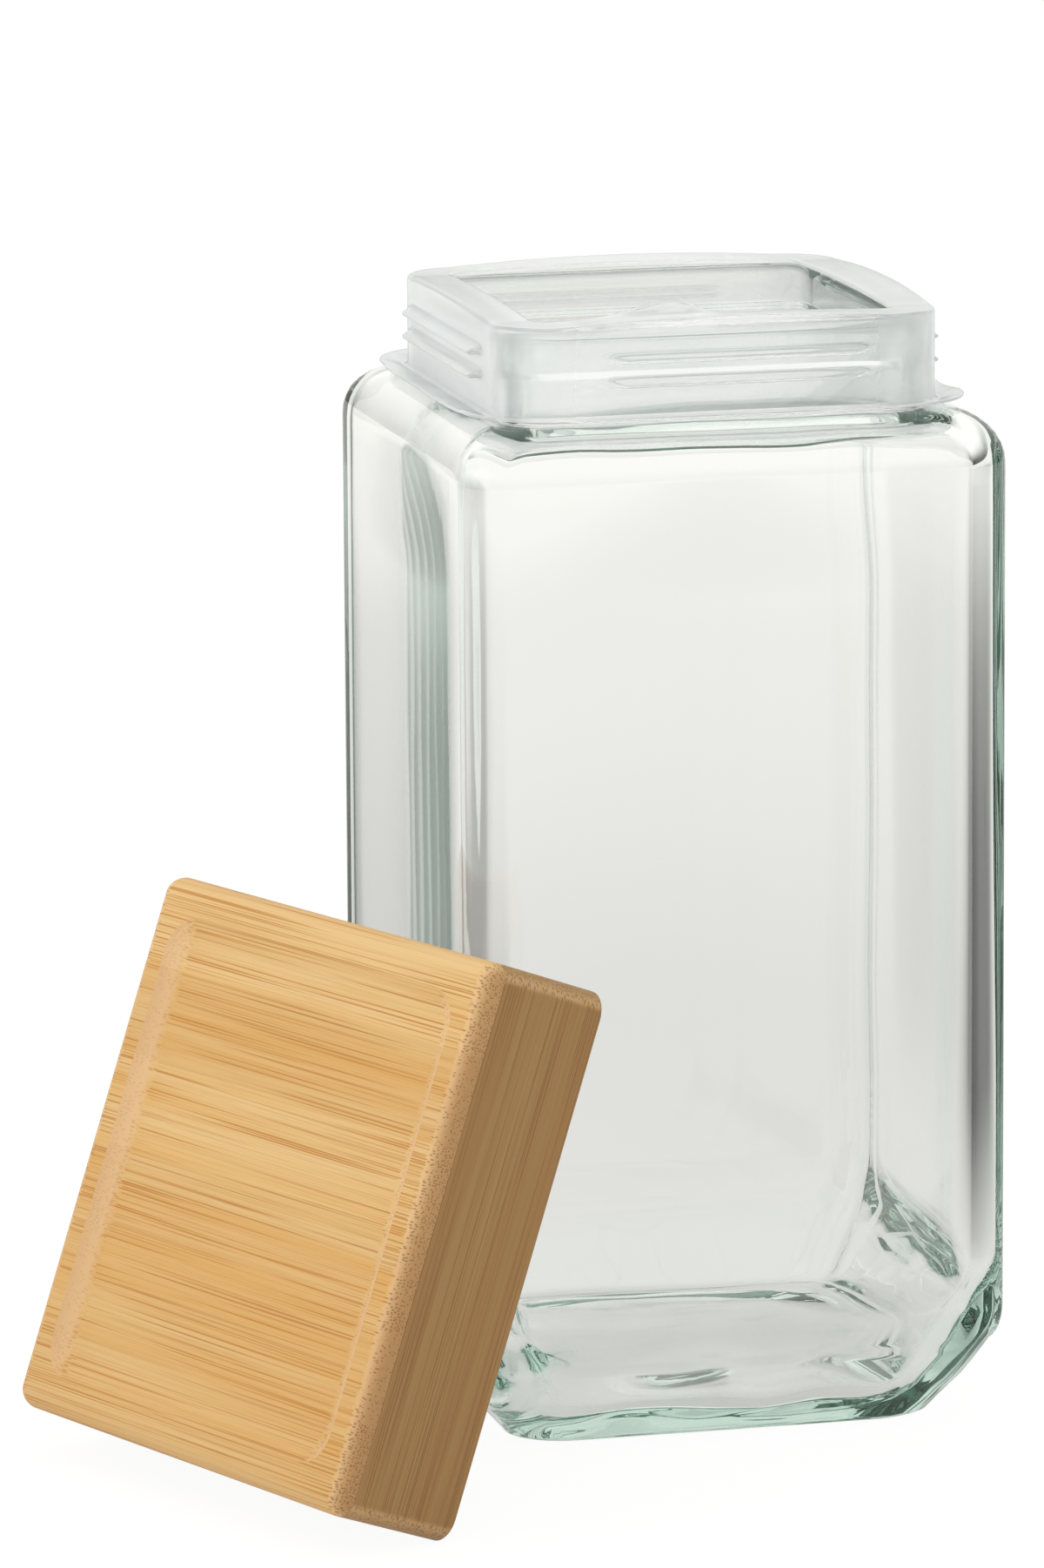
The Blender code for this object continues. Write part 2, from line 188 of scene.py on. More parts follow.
def skin_levels(name, levels, place, looped=False, crease_degrees=None):
    """Skin a stack of levels into one closed, smooth piece at a place."""
    mesh = bpy.data.meshes.new(name)
    work = bmesh.new()
    rings = [[work.verts.new(point) for point in level] for level in levels]
    pairs = list(zip(rings, rings[1:]))
    if looped:
        pairs.append((rings[-1], rings[0]))
    else:
        for ring, point in ((rings[0], levels[0]), (rings[-1], levels[-1])):
            middle = work.verts.new(sum(point, Vector()) / len(point))
            for index, vert in enumerate(ring):
                work.faces.new((middle, vert, ring[(index + 1) % len(ring)]))
    for lower, upper in pairs:
        for index, vert in enumerate(lower):
            following = (index + 1) % len(lower)
            work.faces.new((vert, lower[following], upper[following], upper[index]))
    bmesh.ops.recalc_face_normals(work, faces=work.faces)
    work.to_mesh(mesh)
    work.free()
    mesh.shade_smooth()
    if crease_degrees:
        mesh.set_sharp_from_angle(angle=math.radians(crease_degrees))
    piece = bpy.data.objects.new(name, mesh)
    piece.matrix_world = place
    bpy.context.scene.collection.objects.link(piece)
    return piece


class Signal:
    """A value, colour or vector on its way through a material. Arithmetic on values adds Math nodes."""

    def __init__(self, finish, socket):
        self.finish = finish
        self.socket = socket

    def math(self, operation, *others):
        """Any Math node on this value and others."""
        operands = dict(enumerate((self,) + others))
        return self.finish.add("ShaderNodeMath", {"operation": operation}, operands)

    def __add__(self, other):
        return self.math("ADD", other)

    def __sub__(self, other):
        return self.math("SUBTRACT", other)

    def __mul__(self, other):
        return self.math("MULTIPLY", other)

    def __rsub__(self, other):
        return self.finish.add("ShaderNodeMath", {"operation": "SUBTRACT"}, {0: other, 1: self})

    __radd__ = __add__
    __rmul__ = __mul__

    def __abs__(self):
        return self.math("ABSOLUTE")

    def ramp(self, low, high):
        """Smooth step from zero at low to one at high, or falling where low is the greater."""
        return self.finish.add("ShaderNodeMapRange", {"interpolation_type": "SMOOTHSTEP"},
                               {"Value": self, "From Min": low, "From Max": high})

    def part(self, axis):
        """One component of a vector."""
        return self.finish.add("ShaderNodeSeparateXYZ", {}, {"Vector": self}, axis)


class Finish:
    """A material, or the world, that is built one node at a time."""

    def __init__(self, tree):
        self.tree = tree
        tree.nodes.clear()

    def add(self, kind, settings, inputs, output=0):
        """Add a node, set it up, feed its sockets, and give back one of its outputs."""
        node = self.tree.nodes.new(kind)
        for setting, value in settings.items():
            setattr(node, setting, value)
        for name, value in inputs.items():
            if isinstance(value, Signal):
                self.tree.links.new(value.socket, node.inputs[name])
            else:
                node.inputs[name].default_value = value
        return Signal(self, node.outputs[output]) if len(node.outputs) else node

    def blend(self, share, first, second):
        """Mix two colours."""
        return self.add("ShaderNodeMix", {"data_type": "RGBA"}, {0: share, 6: first, 7: second}, 2)

    def scaled(self, vector, scale):
        """A vector with each component multiplied."""
        return self.add("ShaderNodeVectorMath", {"operation": "MULTIPLY"}, {0: vector, 1: scale})

    def grain(self, vector, detail=2.0, roughness=0.5):
        """Plain noise over a vector whose scale is already set."""
        return self.add("ShaderNodeTexNoise", {}, {"Vector": vector, "Scale": 1.0, "Detail": detail,
                                                    "Roughness": roughness})


def new_finish(name):
    """An empty material and its node maker."""
    material = bpy.data.materials.new(name)
    material.use_nodes = True
    return material, Finish(material.node_tree)


def even_stations(count):
    """The same even stations on all four sides."""
    return [[-1 + 2 * step / count for step in range(count + 1)]] * 4


def eased(share):
    """A share from 0 to 1 that leaves and arrives gently."""
    return share * share * (3 - 2 * share)


def jar_levels():
    """Levels of the jar: push-up, foot, body, shoulder, neck, bead, rim, and down inside to its floor."""
    stand = foot_half - stand_width
    crest = stand - push_up_slope
    bead = neck_half + bead_step
    bead_corner = neck_corner + bead_step
    bead_base = rim_height - bead_height
    mouth = neck_half - neck_wall
    inside = body_half - body_wall
    ceiling = shoulder_height - shoulder_wall
    corners = [
        (crest / push_up_middle_parts, push_up_height, crest / push_up_middle_corner_parts, 0),
        (crest, push_up_height, crest * push_up_corner_share, push_up_round),
        (stand, 0, stand * push_up_corner_share, push_up_round),
        (foot_half, 0, body_corner, foot_round),
        (body_half, band_rise, body_corner, band_round),
        (body_half, shoulder_height, body_corner, shoulder_round),
        (neck_half, shoulder_height, neck_corner, neck_fillet),
        (neck_half, bead_base, neck_corner, bead_round),
        (bead, bead_base + bead_step / 2, bead_corner, bead_round),
        (bead, rim_height, bead_corner, rim_round),
        (mouth, rim_height, mouth_corner, rim_round),
        (mouth, ceiling, mouth_corner, mouth_round),
        (inside, ceiling, body_inner_corner, shoulder_inner_round),
        (inside, floor_wall + band_inner_rise, body_inner_corner, band_inner_round),
        (inside - floor_inset, floor_wall, body_inner_corner, floor_round),
        (foot_half / floor_middle_parts, floor_wall, foot_half / floor_middle_corner_parts, 0),
    ]
    stations = even_stations(jar_stations)
    return [square_level(point.x, point.y, point.z, stations, jar_corner_steps)
            for point in fillet_profile(corners, jar_arc_steps, jar_ring_step)]


def swell_at(spot):
    """How much thicker than at its edges a wall is here.

    The walls are numbered front, right, back, left. Each swells inwards towards its middle.
    """
    if abs(spot.x) > abs(spot.y):
        side, across = (1 if spot.x > 0 else 3), spot.y
    else:
        side, across = (2 if spot.y > 0 else 0), spot.x
    rise = min(1.0, (spot.z - floor_wall) / swell_fade, (shoulder_height - spot.z) / swell_fade)
    drift = noise.noise(Vector((side * wall_apart, spot.z / drift_up, across / drift_across)))
    share = 1 - abs(across) / (body_half - body_wall - body_inner_corner)
    share = max(0.0, min(1.0, share * (1 + swell_drift * drift)))
    return wall_swell[side] * eased(share) * max(0.0, rise)


def uneven_glass(piece):
    """Move the inner faces in and out a little: long soft streaks on the walls, and swirls over the foot."""
    moved = []
    for vert in piece.data.vertices:
        spot = vert.co
        radial = max(abs(spot.x), abs(spot.y))
        inner = radial < body_half - body_wall / 2 and spot.z > floor_wall * inner_face_share
        in_foot = max(0.0, 1 - spot.z / foot_swirl_reach)
        at_shoulder = max(0.0, 1 - abs(spot.z - shoulder_height + shoulder_wall) / shoulder_swirl_reach)
        streak = noise.noise(Vector([place / size for place, size in zip(spot, streak_size)]))
        swirl = noise.noise(spot / swirl_size)
        depth = 0.0
        if inner and spot.z < shoulder_height:
            depth = swell_at(spot) + streak_depth * streak + shoulder_swirl_depth * at_shoulder * swirl
        if inner and spot.z < floor_wall + band_inner_rise:
            depth += swirl_depth * swirl * min(1.0, in_foot + swirl_least_share)
        moved.extend(spot + vert.normal * depth)
    piece.data.vertices.foreach_set("co", moved)
    piece.data.update()


jar = skin_levels("jar_glass", jar_levels(), Matrix.Translation(jar_axis))
uneven_glass(jar)
glass_material, glass = new_finish("green_white_glass")
glass_spot = glass.add("ShaderNodeTexCoord", {}, {}, "Object")
orange_peel = glass.grain(glass.scaled(glass_spot, orange_peel_scale))
glass_bump = glass.add("ShaderNodeBump", {}, {"Strength": 0.02, "Distance": 0.0004, "Height": orange_peel})
glass_shader = glass.add("ShaderNodeBsdfPrincipled", {}, {
    "Base Color": (1.0, 1.0, 1.0, 1.0), "Roughness": 0.0, "IOR": 1.51, "Transmission Weight": 1.0,
    "Normal": glass_bump})
glass_body = glass.add("ShaderNodeVolumeAbsorption", {}, {"Color": glass_tint, "Density": glass_density})
glass.add("ShaderNodeOutputMaterial", {}, {"Surface": glass_shader, "Volume": glass_body})
jar.data.materials.append(glass_material)
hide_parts("glass_jar")
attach(jar, "jar")

# The sleeve is one soft, milky moulding stretched over the bead. A lip folds in over the glass rim, two
# rows of thin fins grip the lid's pocket, and a thin flange lies on the shoulder. Its front glows faintly
# with its own colour as painted light, and its colour is painted darker as painted shade where it turns from
# view.
fit_gap = 0.0003
sleeve_wall = 0.0019
sleeve_inner = neck_half + bead_step + fit_gap
sleeve_outer = sleeve_inner + sleeve_wall
sleeve_corner = neck_corner + bead_step + fit_gap + sleeve_wall
sleeve_foot = shoulder_height + fit_gap
lip_thick = 0.001
lip_top = rim_height + fit_gap + lip_thick
lip_overhang = 0.0012
lip_edge_half = neck_half - neck_wall - lip_overhang
lip_edge_corner = 0.003
lip_round = 0.0009
lip_crown = 0.0011
lip_bulge = 0.0007
lip_edge_crown = 0.0006
wave_height = 0.0029
wave_place = -0.0085
wave_rise = 0.0105
wave_fall = 0.0055
flange_reach = 0.0057
flange_thick = 0.0007
flange_lift = 0.0005
flange_ripple = 0.00025
flange_corner_lift = 0.0009
flange_shares = (0.3, 0.65)
ripple_apart = 7.0
ripple_count = 2.2
fin_first = 0.0054
fin_pitch = 0.0046
fin_reach = 0.0024
fin_root = 0.0018
fin_edge = 0.0005
fin_droop = 0.0012
fin_taper = 0.004
front_fin = (-0.0245, 0.029)
side_fin = (-0.0332, 0.0285)
sleeve_stations = 60
sleeve_corner_steps = 12
flange_tip_steps = 6
flange_root_steps = 4
lip_round_steps = 6
lip_rings = 10
lip_edge_steps = 4
lip_under_rings = 6
milky_cloud_scale = (45.0, 45.0, 160.0)
milky_frost_scale = (260.0, 260.0, 260.0)
milky_blue = (0.90, 0.965, 1.0, 1.0)
milky_white = (0.96, 0.99, 1.0, 1.0)
# Painted shade: the sleeve's colour turns dark grey-green where its surface turns away from view.
milky_painted_edge_shade = (0.42, 0.50, 0.50, 1.0)
milky_painted_edge_span = (0.80, 0.98)
milky_painted_edge_share = 0.9
milky_grazing_span = (0.4, 0.8)
milky_corner_span = (sleeve_outer - sleeve_corner * 1.5, sleeve_outer - sleeve_corner * 0.4)
milky_back_share = 0.25
haze_share = 0.37
haze_corner_share = 0.30
haze_grazing_share = 0.32
clear_share = 0.24
clear_cloud_share = 0.2
clear_grazing_share = 0.22


def sleeve_levels():
    """Levels of the sleeve: under the flange, round its edge, past the fins, over the lip and down inside."""
    straight = sleeve_outer - sleeve_corner
    stations = even_stations(sleeve_stations)
    levels = []

    def fin_share(side, station):
        start, end = front_fin if side % 2 == 0 else side_fin
        place = station * straight
        return eased(max(0.0, min(1.0, (place - start) / fin_taper, (end - place) / fin_taper)))

    def arch(station):
        return 1 - station * station

    def crown(side, station):
        return lip_crown * arch(station)

    def bulge(side, station):
        return lip_bulge * arch(station)

    def wave(side, station):
        rise = lip_edge_crown * arch(station)
        if side == 0:
            distance = station * straight - wave_place
            distance /= wave_rise if distance < 0 else wave_fall
            rise += wave_height * math.exp(-distance * distance)
        return rise

    def ripple(side, station):
        place = Vector((side * ripple_apart, station * ripple_count, 0.0))
        curl = flange_corner_lift * station ** 6
        return curl + flange_ripple * (1 - station ** 4) * (1 + 2 * noise.noise(place))

    def level(half, height, corner, outset=None, lift=None):
        levels.append(square_level(half, height, corner, stations, sleeve_corner_steps, outset, lift))

    edge = sleeve_outer + flange_reach
    flange_base = sleeve_foot + flange_lift
    tip = flange_thick / 2
    inner_corner = sleeve_corner - sleeve_wall
    level(sleeve_inner, sleeve_foot, inner_corner)
    for share in flange_shares:
        level(sleeve_inner + (edge - tip - sleeve_inner) * share, sleeve_foot + flange_lift * share,
              inner_corner + (sleeve_wall + flange_reach - tip) * share,
              lift=lambda side, station, s=share: ripple(side, station) * s)
    for step in range(flange_tip_steps + 1):
        angle = -math.pi / 2 + step / flange_tip_steps * math.pi
        level(edge - tip + tip * math.cos(angle), flange_base + tip + tip * math.sin(angle),
              sleeve_corner + flange_reach - tip + tip * math.cos(angle), lift=ripple)
    for share in reversed(flange_shares):
        level(sleeve_outer + (edge - tip - sleeve_outer) * share,
              sleeve_foot + flange_lift * share + flange_thick, sleeve_corner + (flange_reach - tip) * share,
              lift=lambda side, station, s=share: ripple(side, station) * s)
    for step in range(flange_root_steps + 1):
        angle = step / flange_root_steps * math.pi / 2
        level(sleeve_outer + lip_round * (1 - math.sin(angle)),
              sleeve_foot + flange_thick + lip_round * (1 - math.cos(angle)),
              sleeve_corner + lip_round * (1 - math.sin(angle)))
    for fin in (1, 0):
        root = lip_top - fin_first - fin * fin_pitch
        under = root - fin_root
        fin_tip = root - fin_droop
        level(sleeve_outer, under - fin_edge, sleeve_corner)
        level(sleeve_outer, under, sleeve_corner)
        for root_share, reach_share, tip_height in (
                (0.12, 0.35, under + fin_root * 0.14 - fin_droop * 0.1),
                (0.25, 0.75, fin_tip - fin_edge * 1.5),
                (0.40, 0.97, fin_tip - fin_edge),
                (0.50, 1.00, fin_tip - fin_edge / 2),
                (0.60, 0.95, fin_tip - fin_edge * 0.05),
                (0.75, 0.55, fin_tip + fin_droop * 0.45)):
            height = under + fin_root * root_share
            level(sleeve_outer, height, sleeve_corner,
                  outset=lambda side, station, reach=fin_reach * reach_share: reach * fin_share(side, station),
                  lift=lambda side, station, up=tip_height - height: up * fin_share(side, station))
        level(sleeve_outer, root, sleeve_corner)
        level(sleeve_outer, root + fin_edge, sleeve_corner)
    level(sleeve_outer, lip_top - lip_round * 3, sleeve_corner,
          outset=lambda side, station: bulge(side, station) * 0.6,
          lift=lambda side, station: crown(side, station) * 0.5)
    for step in range(lip_round_steps + 1):
        angle = step / lip_round_steps * math.pi / 2
        level(sleeve_outer - lip_round * (1 - math.cos(angle)), lip_top - lip_round * (1 - math.sin(angle)),
              sleeve_corner - lip_round * (1 - math.cos(angle)), outset=bulge, lift=crown)
    span = sleeve_outer - lip_round - lip_edge_half
    for step in range(1, lip_rings):
        share = step / lip_rings
        level(sleeve_outer - lip_round - span * share, lip_top,
              sleeve_corner - lip_round + (lip_edge_corner - sleeve_corner + lip_round) * share,
              outset=lambda side, station, s=share: bulge(side, station) * (1 - s),
              lift=lambda side, station, s=share: (
                  crown(side, station) * (1 - s * s) + wave(side, station) * s * s))
    for step in range(lip_edge_steps + 1):
        angle = step / lip_edge_steps * math.pi
        level(lip_edge_half + lip_thick / 2 * (1 - math.sin(angle)),
              lip_top - lip_thick / 2 * (1 - math.cos(angle)), lip_edge_corner, lift=wave)
    for step in range(1, lip_under_rings):
        share = step / lip_under_rings
        level(lip_edge_half + (sleeve_inner - lip_edge_half) * share, lip_top - lip_thick,
              lip_edge_corner + (inner_corner - lip_edge_corner) * share,
              lift=lambda side, station, s=share: (
                  crown(side, station) * s * (1 - s) * 2 + wave(side, station) * (1 - s) ** 2))
    level(sleeve_inner, lip_top - lip_thick, inner_corner)
    return levels


sleeve = skin_levels("neck_sleeve", sleeve_levels(), Matrix.Translation(jar_axis), looped=True)
sleeve_material, milky = new_finish("milky_sleeve")
milky_spot = milky.add("ShaderNodeTexCoord", {}, {}, "Object")
milky_cloud = milky.grain(milky.scaled(milky_spot, milky_cloud_scale), 3.0)
milky_frost = milky.grain(milky.scaled(milky_spot, milky_frost_scale))
milky_slant = milky.add("ShaderNodeLayerWeight", {}, {"Blend": 0.5}, "Facing")
milky_grazing = milky_slant.ramp(*milky_grazing_span)
milky_painted_edge = milky_slant.ramp(*milky_painted_edge_span)
milky_colour = milky.blend(milky_cloud, milky_blue, milky_white)
# Painted shade at the grazing edges.
milky_colour = milky.blend(milky_painted_edge * milky_painted_edge_share, milky_colour, milky_painted_edge_shade)
milky_bump = milky.add("ShaderNodeBump", {}, {"Strength": 0.03, "Distance": 0.0003, "Height": milky_frost})
milky_clear = milky.add("ShaderNodeBsdfPrincipled", {}, {
    "Base Color": (0.99, 1.0, 1.0, 1.0), "Roughness": 0.05, "IOR": 1.40, "Transmission Weight": 1.0,
    "Normal": milky_bump})
milky_soft = milky.add("ShaderNodeBsdfPrincipled", {}, {
    "Base Color": (0.99, 1.0, 1.0, 1.0), "Roughness": 0.09, "IOR": 1.14, "Transmission Weight": 1.0})
milky_side = abs(milky_spot.part(0)).math("MINIMUM", abs(milky_spot.part(1)))
milky_corner = milky_side.ramp(*milky_corner_span)
# Painted light: this shader glows faintly with the sleeve's own colour.
milky_glowing_front = milky.add("ShaderNodeBsdfPrincipled", {}, {
    "Base Color": milky_colour, "Roughness": 0.25, "Emission Color": milky_colour, "Emission Strength": 0.13,
    "Normal": milky_bump})
milky_back = milky.add("ShaderNodeBsdfTranslucent", {}, {"Color": milky_colour})
milky_haze = milky.add("ShaderNodeMixShader", {}, {0: milky_back_share, 1: milky_glowing_front, 2: milky_back})
milky_leaving = milky.add("ShaderNodeNewGeometry", {}, {}, "Backfacing")
milky_hazy = haze_share + milky_corner * haze_corner_share + milky_grazing * haze_grazing_share
milky_cloudy = milky.add("ShaderNodeMixShader", {}, {
    0: 1.0 - milky_hazy * (1.0 - milky_leaving), 1: milky_haze, 2: milky_soft})
milky_shader = milky.add("ShaderNodeMixShader", {}, {
    0: milky_cloud * clear_cloud_share + clear_share - milky_grazing * clear_grazing_share,
    1: milky_cloudy, 2: milky_clear})
milky.add("ShaderNodeOutputMaterial", {}, {"Surface": milky_shader})
sleeve.data.materials.append(sleeve_material)
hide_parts("seal_sleeve")
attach(sleeve, "sleeve")

# The lid stands on its lower back edge beside the jar and leans on the jar's front left upright corner.
# Its face is a ply of bamboo strips whose grain runs across, with a coved recess cut by a round-nosed tool.
lid_turn = 67.2
lid_lean = 20.8
lean_gap = 0.0003
lean_offset = 0.0077
lid_half = 0.054
lid_thick = 0.0293
lid_corner = 0.004
lid_round = 0.0039
lid_under_round = 0.0012
ply_thick = 0.0042
glue_gap = 0.00003
recess_half = 0.0466
recess_depth = 0.0025
recess_cove = 0.0059
recess_corner = 0.0075
recess_lip = 0.0004
contact_corner = 0.008
lid_stations = 8
lid_corner_steps = 10
lid_crease = 38
ply_arc_steps = 12
edge_least_corner = 0.0002
recess_least_corner = 0.0016
middle_parts = 4
bundle_size = (0.110, 0.00052)
zone_size = (0.30, 0.0120)
band_size = (0.16, 0.0034)
patch_size = (0.05, 0.0020)
fibre_size = (0.045, 0.00028)
bundle_span = (0.42, 0.26)
zone_span = (0.38, 0.64)
band_span = (0.38, 0.66)
patch_span = (0.35, 0.60)
fibre_span = (0.46, 0.60)
end_span = (0.10, 0.45)
square_end_span = (0.25, 0.95)
edge_span = (lid_half - lid_round * 1.3, lid_half - lid_round * 0.8)
zone_share = 0.5
band_share = 0.4
fibre_share = 0.26
dots_share = 0.12
edge_dots_share = 0.45
strip_jump = (0.37, 0.011)
strip_tints = ((0.94, 0.90, 0.85, 1.0), (1.03, 1.02, 1.0, 1.0))
ply_strip = 0.018
ply_strip_shift = 0.0
ply_line_share = 0.9
ply_tones = ((0.835, 0.58, 0.27, 1.0), (0.79, 0.46, 0.135, 1.0), (0.58, 0.26, 0.050, 1.0))
# End tones: paler end grain with painted light, a painted highlight, darker end grain with painted shade, and
# the dots.
ply_end_tones_with_painted_light = ((0.85, 0.575, 0.31, 1.0), (0.86, 0.57, 0.29, 1.0),
                 (0.53, 0.31, 0.135, 1.0), (0.22, 0.10, 0.03, 1.0))


def lid_place():
    """Where the middle of the lid's underside is, and how it is turned."""
    lean = math.radians(lid_lean)
    turn = math.radians(lid_turn)
    along = Vector((math.cos(turn), -math.sin(turn), 0))
    away = Vector((-math.sin(turn), -math.cos(turn), 0))
    upright = Vector((-1, -1, 0)) * (body_half - contact_corner)
    reach = lid_half - lid_under_round
    outward = upright.dot(away) + contact_corner + lean_gap
    outward += lid_under_round * (1 - math.cos(lean)) + math.sin(lean) * reach
    height = lid_under_round * (1 - math.sin(lean)) + math.cos(lean) * reach
    sideways = upright.dot(along) - lean_offset
    turned = Euler((math.pi / 2 - lean, 0, -turn), "XYZ").to_matrix().to_4x4()
    turned.translation = jar_axis + along * sideways + away * outward + Vector((0, 0, height))
    return turned


def ply_levels():
    """Levels of the ply: up its edge, over the round, across the margin and down the cove to its floor."""
    seam = lid_thick - ply_thick + glue_gap
    floor_height = lid_thick - recess_depth
    levels = [Vector((lid_half / middle_parts, seam, lid_corner)), Vector((lid_half, seam, lid_corner))]
    for step in range(ply_arc_steps + 1):
        angle = step / ply_arc_steps * math.pi / 2
        inset = lid_round * (1 - math.cos(angle))
        levels.append(Vector((lid_half - inset, lid_thick - lid_round * (1 - math.sin(angle)),
                              max(lid_corner - inset, edge_least_corner))))
    radius = (recess_cove ** 2 + recess_depth ** 2) / (2 * recess_depth)
    sweep = math.asin(recess_cove / radius)
    levels.append(Vector((recess_half + recess_lip, lid_thick, recess_corner + recess_lip)))
    for step in range(ply_arc_steps + 1):
        angle = sweep * (1 - step / ply_arc_steps)
        inset = recess_cove - radius * math.sin(angle)
        levels.append(Vector((recess_half - inset, floor_height + radius * (1 - math.cos(angle)),
                              max(recess_corner - inset, recess_least_corner))))
    levels.append(Vector((recess_half / middle_parts, floor_height, recess_least_corner)))
    stations = even_stations(lid_stations)
    return [square_level(level.x, level.y, level.z, stations, lid_corner_steps) for level in levels]


def bamboo(finish, along, across, strip_width, strip_shift, tones, end_tones, line_share):
    """Solid bamboo: fibres run along one axis, strips lie side by side across another, and ends show dots.

    The tones are light, middle and dark. The end tones are the inner rounded edge's, paler sanded end grain
    lifted with painted light where it lies in shade; the slanting end's, a painted highlight; the square end's,
    darker end grain with painted shade; and the dots'.
    """
    spot = finish.add("ShaderNodeTexCoord", {}, {}, "Object")
    facing = abs(finish.add("ShaderNodeTexCoord", {}, {}, "Normal").part(along))
    strips = (spot.part(across) + strip_shift) * (1 / strip_width)
    strip = strips.math("FLOOR")
    tone = finish.add("ShaderNodeTexWhiteNoise", {"noise_dimensions": "1D"}, {"W": strip}, "Value")
    jump = finish.add("ShaderNodeCombineXYZ", {}, {along: strip * strip_jump[0], across: strip * strip_jump[1]})
    place = finish.add("ShaderNodeVectorMath", {"operation": "ADD"}, {0: spot, 1: jump})

    def stretched(size):
        length, width = size
        scale = [1 / width] * 3
        scale[along] = 1 / length
        return finish.scaled(place, scale)

    bundle = finish.add("ShaderNodeTexVoronoi", {"voronoi_dimensions": "3D"},
                        {"Vector": stretched(bundle_size), "Scale": 1.0, "Randomness": 0.7}, "Distance")
    dots = bundle.ramp(*bundle_span)
    zone = finish.grain(stretched(zone_size), 1.0).ramp(*zone_span)
    band = finish.grain(stretched(band_size), 2.0).ramp(*band_span)
    patch = finish.grain(stretched(patch_size), 2.0).ramp(*patch_span)
    fibre = finish.grain(stretched(fibre_size), 3.0, 0.65)
    edge = abs(spot.part(along)).ramp(*edge_span)
    light, middle, dark = tones
    long_base = finish.blend(zone * zone_share + band * band_share, light, middle)
    long_base = finish.blend(dots * (patch * 0.5 + 0.5) * line_share, long_base, dark)
    long_base = finish.blend(fibre.ramp(*fibre_span) * fibre_share, long_base, dark)
    end_cove_pale_and_lit, end_slant_painted_highlight, end_square_dark_and_shade, end_dark = end_tones
    # Painted highlight where the round starts to slant, turning to darker end grain with painted shade where it
    # turns square.
    end_base = finish.blend(facing.ramp(*square_end_span), end_slant_painted_highlight, end_square_dark_and_shade)
    # Away from the outer edge the end grain is paler: sanded end grain, lifted with painted light where it lies
    # in shade.
    end_base = finish.blend(edge, end_cove_pale_and_lit, end_base)
    end_base = finish.blend(dots * (edge * edge_dots_share + dots_share), end_base, end_dark)
    end = facing.ramp(*end_span)
    colour = finish.blend(end, long_base, end_base)
    tint = finish.blend(tone, *strip_tints)
    colour = finish.add("ShaderNodeMix", {"data_type": "RGBA", "blend_type": "MULTIPLY"},
                        {0: 1.0, 6: colour, 7: tint}, 2)
    relief = fibre * 0.5 + dots * -0.6
    bump = finish.add("ShaderNodeBump", {}, {"Strength": 0.2, "Distance": 0.00015, "Height": relief})
    shader = finish.add("ShaderNodeBsdfPrincipled", {}, {
        "Base Color": colour, "Roughness": 0.42 + fibre * 0.14, "Specular IOR Level": 0.3, "Normal": bump})
    finish.add("ShaderNodeOutputMaterial", {}, {"Surface": shader})


ply = skin_levels("lid_face_ply", ply_levels(), lid_place(), crease_degrees=lid_crease)
ply_material, ply_finish = new_finish("bamboo_ply_finish")
bamboo(ply_finish, 0, 1, ply_strip, ply_strip_shift, ply_tones, ply_end_tones_with_painted_light, ply_line_share)
ply.data.materials.append(ply_material)
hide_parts("lid_top_ply")
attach(ply, "lid")

# The block under the ply is bamboo too, with its grain square to the ply's; its colours are that bamboo made
# darker as painted shade. A square pocket with rounded corners is milled up into it, deep enough to take the
# sleeve.
pocket_clearance = 0.0012
pocket_spare = 0.0016
pocket_half = sleeve_outer + pocket_clearance
pocket_depth = lip_top - sleeve_foot + pocket_spare
pocket_corner = 0.0115
pocket_mouth_round = 0.0006
pocket_ceiling_round = 0.003
block_arc_steps = 6
block_ring_step = 0.012
block_strip = 0.022
block_strip_shift = 0.004
block_line_share = 0.7
# Painted shade: the same bamboo as the ply, coloured darker because the block's sides stand in shade.
block_shaded_tones = ((0.41, 0.25, 0.10, 1.0), (0.37, 0.205, 0.075, 1.0), (0.26, 0.125, 0.038, 1.0))
block_shaded_end_tones = ((0.40, 0.24, 0.10, 1.0), (0.60, 0.38, 0.18, 1.0),
                   (0.46, 0.28, 0.12, 1.0), (0.18, 0.09, 0.035, 1.0))


def block_levels():
    """Levels of the block: from the pocket's ceiling down to its mouth, round the rim and up the outside."""
    seam = lid_thick - ply_thick
    corners = [
        (pocket_half / middle_parts, pocket_depth, pocket_corner / middle_parts, 0),
        (pocket_half, pocket_depth, pocket_corner, pocket_ceiling_round),
        (pocket_half, 0, pocket_corner, pocket_mouth_round),
        (lid_half, 0, lid_corner, lid_under_round),
        (lid_half, seam, lid_corner, 0),
        (lid_half / middle_parts, seam, lid_corner, 0),
    ]
    stations = even_stations(lid_stations)
    return [square_level(point.x, point.y, point.z, stations, lid_corner_steps)
            for point in fillet_profile(corners, block_arc_steps, block_ring_step)]


block = skin_levels("lid_pocket_block", block_levels(), lid_place(), crease_degrees=lid_crease)
block_material, block_finish = new_finish("shaded_bamboo_block")
bamboo(block_finish, 1, 0, block_strip, block_strip_shift, block_shaded_tones, block_shaded_end_tones, block_line_share)
block.data.materials.append(block_material)
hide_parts("lid_block")
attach(block, "lid")

# A plain pale floor in a white room with two soft lamps, the stronger on the left. In the glass the room is
# dim in front and behind on the left, and dark on the right, so that the glass has edges. The floor shows
# that dim and dark to the glass as painted shade, with a painted shadow under the jar; the camera sees it
# white.
floor_half = 6.0
floor_drop = 0.0002
white = (1.0, 1.0, 1.0, 1.0)
black = (0.0, 0.0, 0.0, 1.0)
floor_tint = (1.0, 0.98, 0.945, 1.0)
floor_grey = (0.85, 0.85, 0.85, 1.0)
